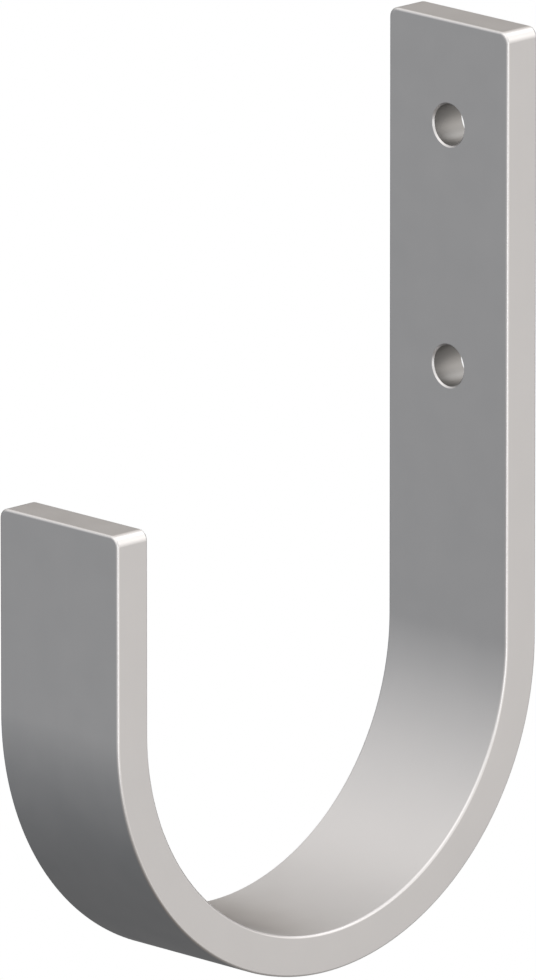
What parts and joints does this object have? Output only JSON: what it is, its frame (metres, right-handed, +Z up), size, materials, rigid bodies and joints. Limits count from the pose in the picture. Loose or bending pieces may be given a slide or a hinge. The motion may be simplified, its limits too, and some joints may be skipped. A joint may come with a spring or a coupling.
{
  "type": "cable management hook",
  "caption": "J-shaped hook bent from flat metal bar: its tall leg screws to a wall and its half-round bend carries bundled cables.",
  "frame": {"origin": "on the wall face of the tall leg, midway between the two screw holes", "axes": "+X across the bar's width, +Y into the wall, +Z up along the tall leg"},
  "size_m": [0.0254, 0.0889, 0.1398],
  "materials": {
    "satin_aluminium": "satin"
  },
  "bodies": {
    "root": {"hook": "satin_aluminium"}
  },
  "joints": []
}
